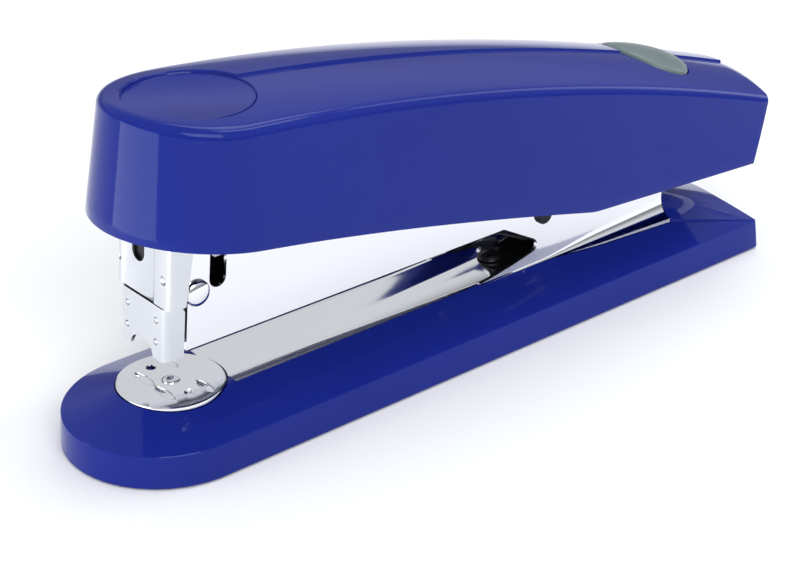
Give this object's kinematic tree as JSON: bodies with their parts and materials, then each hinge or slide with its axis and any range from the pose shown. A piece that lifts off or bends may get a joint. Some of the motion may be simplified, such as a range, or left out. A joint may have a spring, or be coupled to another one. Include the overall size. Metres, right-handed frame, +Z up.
{
  "type": "desk stapler",
  "caption": "Front-loading desk stapler: long gloss blue cover over a bright metal arm, nose and channel, blue base with turning anvil disc, oval release button at the rear.",
  "frame": {"origin": "under the middle of the whole object, on the surface it stands on", "axes": "+X from the nose towards the rear end, +Y towards the side that is far in the picture, +Z up"},
  "size_m": [0.1991, 0.0472, 0.0787],
  "materials": {
    "gloss_blue_plastic": "gloss",
    "satin_grey_plastic": "satin",
    "bright_chrome": "mirror",
    "spring_steel": "satin",
    "black_steel": "satin black",
    "black_rubber": "matt",
    "staple_wire": "bright"
  },
  "bodies": {
    "base": {"base_shell": "gloss_blue_plastic", "base_sole": "gloss_blue_plastic", "foot_pad_front": "black_rubber", "foot_pad_rear": "black_rubber", "anvil_rivet": "bright_chrome", "anvil_washer": "spring_steel", "base_channel": "bright_chrome", "channel_screw_front": "spring_steel", "channel_screw_rear": "spring_steel", "hinge_rivet_left": "black_steel", "hinge_rivet_right": "black_steel", "lift_spring": "black_steel"},
    "anvil": {"anvil_disc": "bright_chrome"},
    "arm": {"arm_housing": "bright_chrome", "nose_guide": "bright_chrome", "nose_rivet_left": "bright_chrome", "nose_rivet_right": "bright_chrome", "guide_pin_front": "spring_steel", "guide_pin_rear": "spring_steel", "handle_pin": "spring_steel", "eject_spring": "spring_steel"},
    "magazine": {"magazine_channel": "spring_steel", "nose_plate": "bright_chrome", "staple_strip": "staple_wire", "pusher_rod": "spring_steel", "pusher_spring": "spring_steel"},
    "pusher": {"pusher": "black_steel"},
    "driver": {"driver_blade": "black_steel", "driver_carrier": "black_steel", "driver_pin": "spring_steel"},
    "handle": {"cover_shell": "gloss_blue_plastic", "handle_frame": "spring_steel", "frame_screw_front": "spring_steel", "frame_screw_rear": "spring_steel", "return_spring": "spring_steel"},
    "button": {"release_button": "satin_grey_plastic", "button_spring": "spring_steel"},
    "latch": {"latch_lever": "spring_steel"}
  },
  "joints": [
    {"name": "arm_hinge", "type": "hinge", "parent": "base", "child": "arm", "pos_m": [0.02775, 0, 0.0253], "axis": [0, -1, 0], "range_deg": [0, 5.1], "stiffness_Nm_per_rad": 2, "springref_deg": -11.46, "deforming": ["lift_spring"]},
    {"name": "handle_press", "type": "hinge", "parent": "arm", "child": "handle", "pos_m": [0.04645, 0, 0.04], "axis": [0, -1, 0], "range_deg": [0, 5], "stiffness_Nm_per_rad": 8, "springref_deg": -8.59, "deforming": ["return_spring"]},
    {"name": "driver_slide", "type": "slide", "parent": "arm", "child": "driver", "axis": [-0.0906, 0, -0.9959], "range_m": [0, 0.0099]},
    {"name": "magazine_slide", "type": "slide", "parent": "arm", "child": "magazine", "axis": [1, 0, 0], "range_m": [-0.1, 0], "deforming": ["eject_spring"]},
    {"name": "pusher_slide", "type": "slide", "parent": "magazine", "child": "pusher", "axis": [1, 0, 0], "range_m": [0, 0.045], "stiffness_N_per_m": 60, "springref_m": -0.05, "deforming": ["pusher_spring"]},
    {"name": "anvil_turn", "type": "hinge", "parent": "base", "child": "anvil", "pos_m": [-0.07455, 0, 0.013], "axis": [0, 0, 1], "range_deg": [0, 180]},
    {"name": "button_press", "type": "slide", "parent": "handle", "child": "button", "axis": [-0.2756, 0, -0.9613], "range_m": [0, 0.0025], "stiffness_N_per_m": 600, "springref_m": -0.002, "deforming": ["button_spring"]},
    {"name": "latch_turn", "type": "hinge", "parent": "arm", "child": "latch", "pos_m": [0.04645, 0, 0.04], "axis": [0, 1, 0], "range_deg": [0, 6.4]}
  ],
  "couplings": [
    {"joint": "driver_slide", "follows": "handle_press", "m_per_rad": 0.11287},
    {"joint": "latch_turn", "follows": "button_press", "rad_per_m": 44}
  ]
}
